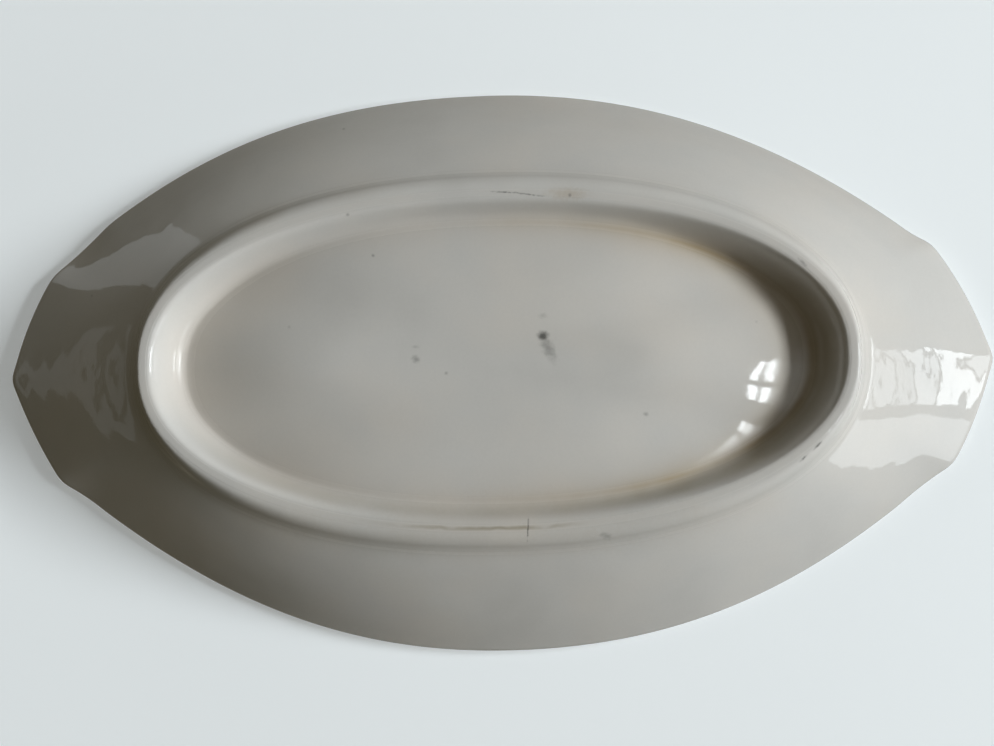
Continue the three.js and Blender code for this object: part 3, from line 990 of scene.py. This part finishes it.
def clay_material(name, finish):
    """Bare fired clay: matte, sandy and a little stained."""
    material, tree, shader, position = new_material(name)
    grit = noise_term(tree, position, "sand")
    patchy = noise_term(tree, position, "clay_clouds").between(0.42, 0.72)
    base = mixed_colour(tree, patchy * 0.35, with_alpha(finish.clay), with_alpha(finish.stain))
    shade = add_node(tree, "ShaderNodeHueSaturation", {"Color": base, "Value": 0.9 + grit * 0.2})
    tree.links.new(shade.outputs["Color"], shader.inputs["Base Color"])
    feed(tree, shader.inputs["Roughness"], 0.55 + grit * 0.3)
    add_bump(tree, shader, grit * MARK_DEPTH)
    return material


def shared_groups():
    """The node groups that the materials share, made once."""
    found = {"glaze": bpy.data.node_groups.get("cream_glaze"), "spot": bpy.data.node_groups.get("soft_spot")}
    return {"glaze": found["glaze"] or glaze_group(), "spot": found["spot"] or mark_group()}


# Operators

COAT_STEPS = {
    "heel": 16, "ease": 10, "wall": 22, "lip": 6, "inside": 10, "corner": 10, "ledge": 3, "floor": 16}
# How many points of the coat give way to the rounded heel, and over how many its dirt and painted shade fade
# out
EASED_BEFORE_HEEL = 6
EASED_AFTER_HEEL = 2
HEEL_DIRT_AND_SHADE_STEPS = 6
# What does not show is coarse: it takes every so many points of the coat's face, or stations
COAT_BACK_EVERY = 6
CLAY_FACE_EVERY = 3
CLAY_STATION_EVERY = 2
CLAY_RECESS_PARTS = (0, 0.3, 0.55, 0.75, 0.9, 1)
# The foot ring's land, the share of it between its two inner controls, and the flanks beside it
LAND_STEPS = 10
LAND_FLAT = 0.7
FLANK_STEPS = 9
INNER_FLANK = slice(4, -1)
OUTER_FLANK = slice(1, 6)


class DISH_OT_clay_body(bpy.types.Operator):
    """Builds the pressed clay bowl, which the glaze hides"""

    bl_idname = "dish.clay_body"
    bl_label = "Clay body"

    def execute(self, context):
        shape = context.scene.dish_shape
        stations = dish_stations(shape)[::CLAY_STATION_EVERY]
        skin = shape.glaze_thickness + shape.bond_width
        sections = []
        for station in stations:
            under = []
            for part in CLAY_RECESS_PARTS:
                x = -station.ring - (1 - part) * station.groove.length
                under.append(Vector((x, recess_height(shape, station, part) + skin)))
            face = coat_face(shape, station)[COAT_STEPS["heel"] + 1:]
            outer = face[:-1:CLAY_FACE_EVERY] + face[-1:]
            sections.append(under + sunk(outer, skin, UP, DOWN))
        mesh = lofted("clay_body_bowl", stations, sections, False, {})
        add_piece(mesh, "clay_body", clay_material("fired_clay", context.scene.dish_finish))
        return {"FINISHED"}


class DISH_OT_foot_ring(bpy.types.Operator):
    """Builds the clay foot ring, of which only the worn land on the crest shows"""

    bl_idname = "dish.foot_ring"
    bl_label = "Foot ring"

    def execute(self, context):
        shape = context.scene.dish_shape
        stations = dish_stations(shape)
        half = shape.land_width / 2
        # With its inner controls this far down, the land's curve just touches the table
        low = -shape.land_step / 3
        skin = shape.glaze_thickness + shape.bond_width
        sections = []
        for station in stations:
            crest = Vector((station.crest, 0))
            land = [crest + Vector((-half, shape.land_step)), crest + Vector((-LAND_FLAT * half, low)),
                    crest + Vector((LAND_FLAT * half, low)), crest + Vector((half, shape.land_step))]
            inner = sunk(flank_section(shape, station, FLANK_STEPS), skin, UP, UP)[INNER_FLANK]
            outer = sunk(heel_section(shape, station, FLANK_STEPS), skin, UP, UP)[OUTER_FLANK]
            sections.append(inner + curve(land, LAND_STEPS) + outer)
        over_land = [2 * i / LAND_STEPS - 1 for i in range(LAND_STEPS + 1)]
        across = [0.0] * len(inner) + over_land + [0.0] * len(outer)
        mesh = lofted("foot_ring_clay", stations, sections, True, {"across": across})
        material = land_material("worn_land", context.scene.dish_finish, shared_groups())
        add_piece(mesh, "foot_ring", material)
        return {"FINISHED"}


def up_wall(sections, hidden):
    """How far up the wall from the heel each point of the longest section lies, and 0 off the wall."""
    longest = max(sections, key=lambda points: max(p.x for p in points))
    tip = max(range(len(longest)), key=lambda j: longest[j].x)
    return [max(0.0, p.x) if hidden <= j <= tip else 0.0 for j, p in enumerate(longest)]


class DISH_OT_glaze_coat(bpy.types.Operator):
    """Builds the glaze over the wall, the lip and the food side"""

    bl_idname = "dish.glaze_coat"
    bl_label = "Glaze coat"

    def execute(self, context):
        shape = context.scene.dish_shape
        finish = context.scene.dish_finish
        stations = dish_stations(shape)
        sections = []
        for station in stations:
            face = coat_face(shape, station)
            coarse = face[:-1:COAT_BACK_EVERY] + face[-1:]
            sections.append(sunk(coarse, shape.glaze_thickness, UP, DOWN)[::-1] + face)
        hidden = len(sections[0]) - len(face)
        heel = hidden + COAT_STEPS["heel"]
        # The heel's crease gets a warm, dark tint that is partly dirt and partly painted shade
        pool = [0.0] * len(sections[0])
        for j in range(hidden, len(pool)):
            pool[j] = max(0.0, 1 - abs(j - heel) / HEEL_DIRT_AND_SHADE_STEPS) ** 2
        marks = {"pool": pool, "up_wall": up_wall(sections, hidden)}
        mesh = lofted("glaze_coat_skin", stations, sections, False, marks)
        soot_marks = {**CREST_SOOT, **WALL_SOOT}
        material = glaze_material(
            "wall_glaze", finish, shared_groups(), finish.wall_ripple, finish.heel_dirt_and_shade, soot_marks)
        add_piece(mesh, "glaze_coat", material)
        return {"FINISHED"}


class DISH_OT_recess_glaze(bpy.types.Operator):
    """Grows the glaze of the recess inside the foot ring"""

    bl_idname = "dish.recess_glaze"
    bl_label = "Recess glaze"

    def execute(self, context):
        shape = context.scene.dish_shape
        finish = context.scene.dish_finish
        soot_marks = {**CREST_SOOT, **FLOOR_SOOT}
        material = glaze_material(
            "recess_glaze", finish, shared_groups(), finish.recess_ripple, 1.0, soot_marks)
        settings = {name: getattr(shape, name) for name in RECESS_SIZES + RECESS_COUNTS}
        settings["glaze"] = material
        mesh = grown("recess_glaze_skin", recess_tree(shape), settings, shape.glaze_thickness)
        add_piece(mesh, "recess_glaze", material)
        return {"FINISHED"}


def stage_material(name, rgb, glow):
    """Pale paper that shows only from its front, and is a little brighter to the camera alone."""
    material, tree, shader, _ = new_material(name)
    shader.inputs["Base Color"].default_value = with_alpha(rgb)
    shader.inputs["Roughness"].default_value = 0.95
    shader.inputs["Specular IOR Level"].default_value = 0.1
    ray = tree.nodes.new("ShaderNodeLightPath")
    shader.inputs["Emission Color"].default_value = with_alpha(rgb)
    feed(tree, shader.inputs["Emission Strength"], Term(tree, ray.outputs["Is Camera Ray"]) * glow)
    clear = tree.nodes.new("ShaderNodeBsdfTransparent")
    side = tree.nodes.new("ShaderNodeNewGeometry")
    mix = tree.nodes.new("ShaderNodeMixShader")
    tree.links.new(side.outputs["Backfacing"], mix.inputs["Fac"])
    tree.links.new(shader.outputs["BSDF"], mix.inputs[1])
    tree.links.new(clear.outputs["BSDF"], mix.inputs[2])
    tree.links.new(mix.outputs["Shader"], tree.nodes["Material Output"].inputs["Surface"])
    return material


def stage_sheet(name, height, half_size, faces_up, material):
    """A flat sheet that only the camera sees, so it shades nothing and keeps the dish's shadow."""
    corner_signs = [(-1, -1), (1, -1), (1, 1), (-1, 1)]
    order = corner_signs if faces_up else corner_signs[::-1]
    mesh = bpy.data.meshes.new(name)
    mesh.from_pydata([(x * half_size, y * half_size, height) for x, y in order], [], [(0, 1, 2, 3)])
    mesh.materials.append(material)
    sheet = bpy.data.objects.new(name, mesh)
    bpy.context.scene.collection.objects.link(sheet)
    for ray in ("diffuse", "glossy", "transmission", "shadow"):
        setattr(sheet, f"visible_{ray}", False)
    return sheet


WHITE = (1.0, 1.0, 1.0)
CEILING_SIZE = (0.6, 0.5)
# Lamps under the dish by azimuth from +X, elevation down from the rim, width and height, all in degrees
LAMPS = {
    "window": (-3, 29, 30, 8),
    "upper_sky": (-3, 55, 40, 30),
    "rear_fill": (-90, 14, 40, 20),
    "front_fill": (40, 14, 40, 20),
}
# Bright panes that only reflections show: three corners by azimuth and elevation in degrees, and their
# brightness as a share of the gleam
PANES = {
    "high_near_left": ((-6.9, 59.2), (-7, 58.5), (8.7, 60.7), 2.4),
    "high_near_right": ((-7.2, 58.2), (-7.9, 57.4), (7.6, 59.3), 2.4),
    "high_far_left": ((14.4, 61), (13.4, 60.1), (24.5, 60.65), 2.4),
    "high_far_right": ((13, 59.7), (11.7, 58.6), (24, 59.25), 2.4),
    "glint": ((-9, 36), (-9, 29), (6, 36), 2.5),
    "low_rear_first": ((-6.5, 25.6), (-6.5, 23.7), (10.5, 22.5), 0.4),
    "low_rear_second": ((-7, 23.2), (-7, 22), (11, 20), 0.36),
    "low_rear_third": ((-7.5, 21.5), (-7.5, 19.1), (11.5, 18.1), 0.5),
    "low_rear_bright": ((-8.5, 18.5), (-8.5, 15), (12, 14.7), 0.85),
    "low_front": ((15.5, 19.5), (15.5, 6), (33, 19.5), 0.3),
    "far_corner": ((-149, -5), (-149, 11), (-131, -5), 0.09),
    "far_rail": ((163, 14.4), (163, 17.2), (-163, 14.4), 0.04),
    "far_arc": ((166, 18.7), (166, 20.3), (-156, 18.7), 0.035),
}


def area_light(name, place, aim, size, power, rgb):
    """A rectangular lamp that faces the aim, with its width level. The camera does not see it."""
    lamp = bpy.data.lights.new(name, "AREA")
    lamp.shape = "RECTANGLE"
    lamp.size, lamp.size_y = size
    lamp.energy = power
    lamp.color = rgb
    light = bpy.data.objects.new(name, lamp)
    light.location = place
    light.rotation_euler = (aim - place).to_track_quat("-Z", "Y").to_euler()
    light.visible_camera = False
    bpy.context.scene.collection.objects.link(light)
    return light


def way_below(azimuth, elevation):
    """The way from the dish to something below its rim."""
    turn, drop = math.radians(azimuth), math.radians(elevation)
    return Vector((math.cos(drop) * math.cos(turn), math.cos(drop) * math.sin(turn), -math.sin(drop)))


def lamp_below(name, look, aim, azimuth, elevation, width, height):
    """A soft lamp that only lights the dish and is not mirrored in it."""
    size = [2 * look.lamp_distance * math.tan(math.radians(extent / 2)) for extent in (width, height)]
    place = aim + look.lamp_distance * way_below(azimuth, elevation)
    light = area_light(name, place, aim, size, getattr(look, name), look.lamp_colour)
    light.visible_glossy = False


def pane_below(name, look, aim, pane_corners, gleam_share):
    """A lamp that is only mirrored. It leans so that it fills the slanted pane between its three corners."""
    first, second, third = (aim + look.lamp_distance * way_below(*corner) for corner in pane_corners)
    one, other = second - first, third - first
    inward = (aim - (second + third) / 2).normalized()
    slant = one.dot(other)
    lean = math.sqrt(abs(slant))
    one += lean * inward
    other -= math.copysign(lean, slant) * inward
    if one.cross(other).dot(inward) > 0:
        one, other = other, one
    other -= one * (one.dot(other) / one.length_squared)
    middle = first + (one + other) / 2
    size = (one.length, other.length)
    power = look.gleam * gleam_share * math.pi * size[0] * size[1]
    light = area_light(name, middle, aim, size, power, look.pane_colour)
    axes = Matrix((one.normalized(), other.normalized(), one.cross(other).normalized())).transposed()
    light.rotation_euler = axes.to_euler()
    light.visible_diffuse = False


def pale_world(look):
    """Even light, dim from below and brighter from above, with a pale background for the camera."""
    world = bpy.data.worlds.new("pale_room")
    world.use_nodes = True
    tree = world.node_tree
    background = tree.nodes["Background"]
    coordinates = tree.nodes.new("ShaderNodeTexCoord")
    parts = add_node(tree, "ShaderNodeSeparateXYZ", {"Vector": coordinates.outputs["Generated"]})
    upward = Term(tree, parts.outputs["Z"]).between(0.45, 0.95)
    ray = Term(tree, tree.nodes.new("ShaderNodeLightPath").outputs["Is Camera Ray"])
    lit = look.room + upward * (look.room_above - look.room)
    strength = lit * (1 - ray) + ray * look.background
    tint = mixed_colour(tree, upward.op("MAXIMUM", ray), with_alpha(look.room_colour), with_alpha(WHITE))
    tree.links.new(tint, background.inputs["Color"])
    feed(tree, background.inputs["Strength"], strength)
    bpy.context.scene.world = world


class DISH_OT_stage(bpy.types.Operator):
    """Adds the pale floor and backdrop, the window light and the camera"""

    bl_idname = "dish.stage"
    bl_label = "Stage"

    def execute(self, context):
        scene = context.scene
        look = scene.dish_stage
        height = scene.dish_shape.height
        paper = stage_material("pale_paper", look.paper, look.paper_glow)
        stage_sheet("underside_backdrop", height + look.sheet_gap, look.backdrop_half, False, paper)
        stage_sheet("floor", -look.sheet_gap, look.floor_half, True, paper)

        aim = Vector((0, 0, height / 2))
        for name, spread in LAMPS.items():
            lamp_below(name, look, aim, *spread)
        for name, (*pane_corners, gleam_share) in PANES.items():
            pane_below(name, look, aim, pane_corners, gleam_share)
        area_light("ceiling", Vector(look.ceiling_place), aim, CEILING_SIZE, look.ceiling, WHITE)
        pale_world(look)

        camera = bpy.data.objects.new("camera", bpy.data.cameras.new("camera"))
        place, target = Vector(look.camera_place), Vector(look.camera_aim)
        back = (place - target).normalized()
        right = Vector((0, -1, 0)).cross(back).normalized()
        upright = Matrix((right, back.cross(right), back)).transposed()
        camera.matrix_world = Matrix.Translation(place) @ (
            upright @ Matrix.Rotation(look.camera_roll, 3, "Z")).to_4x4()
        camera.data.lens = look.camera_lens
        camera.data.clip_start = 0.01
        scene.collection.objects.link(camera)
        scene.camera = camera
        scene.view_settings.view_transform = "Standard"
        return {"FINISHED"}


class DISH_PT_panel(bpy.types.Panel):
    """Lists the steps that build the dish"""

    bl_label = "Appetizer dish"
    bl_idname = "DISH_PT_panel"
    bl_space_type = "VIEW_3D"
    bl_region_type = "UI"
    bl_category = "Dish"

    def draw(self, context):
        for step in STEPS:
            self.layout.operator(step.bl_idname)


STEPS = [DISH_OT_clay_body, DISH_OT_foot_ring, DISH_OT_glaze_coat, DISH_OT_recess_glaze, DISH_OT_stage]
SETTINGS = {"dish_shape": DishShape, "dish_finish": DishFinish, "dish_stage": DishStage}


def register():
    for kind in [*SETTINGS.values(), *STEPS, DISH_PT_panel]:
        bpy.utils.register_class(kind)
    for name, kind in SETTINGS.items():
        setattr(bpy.types.Scene, name, PointerProperty(type=kind))


def unregister():
    for name in SETTINGS:
        delattr(bpy.types.Scene, name)
    for kind in [DISH_PT_panel, *STEPS[::-1], *SETTINGS.values()]:
        bpy.utils.unregister_class(kind)


def main():
    register()
    bpy.ops.dish.clay_body()
    bpy.ops.dish.foot_ring()
    bpy.ops.dish.glaze_coat()
    bpy.ops.dish.recess_glaze()
    bpy.ops.dish.stage()


if __name__ == "__main__":
    main()
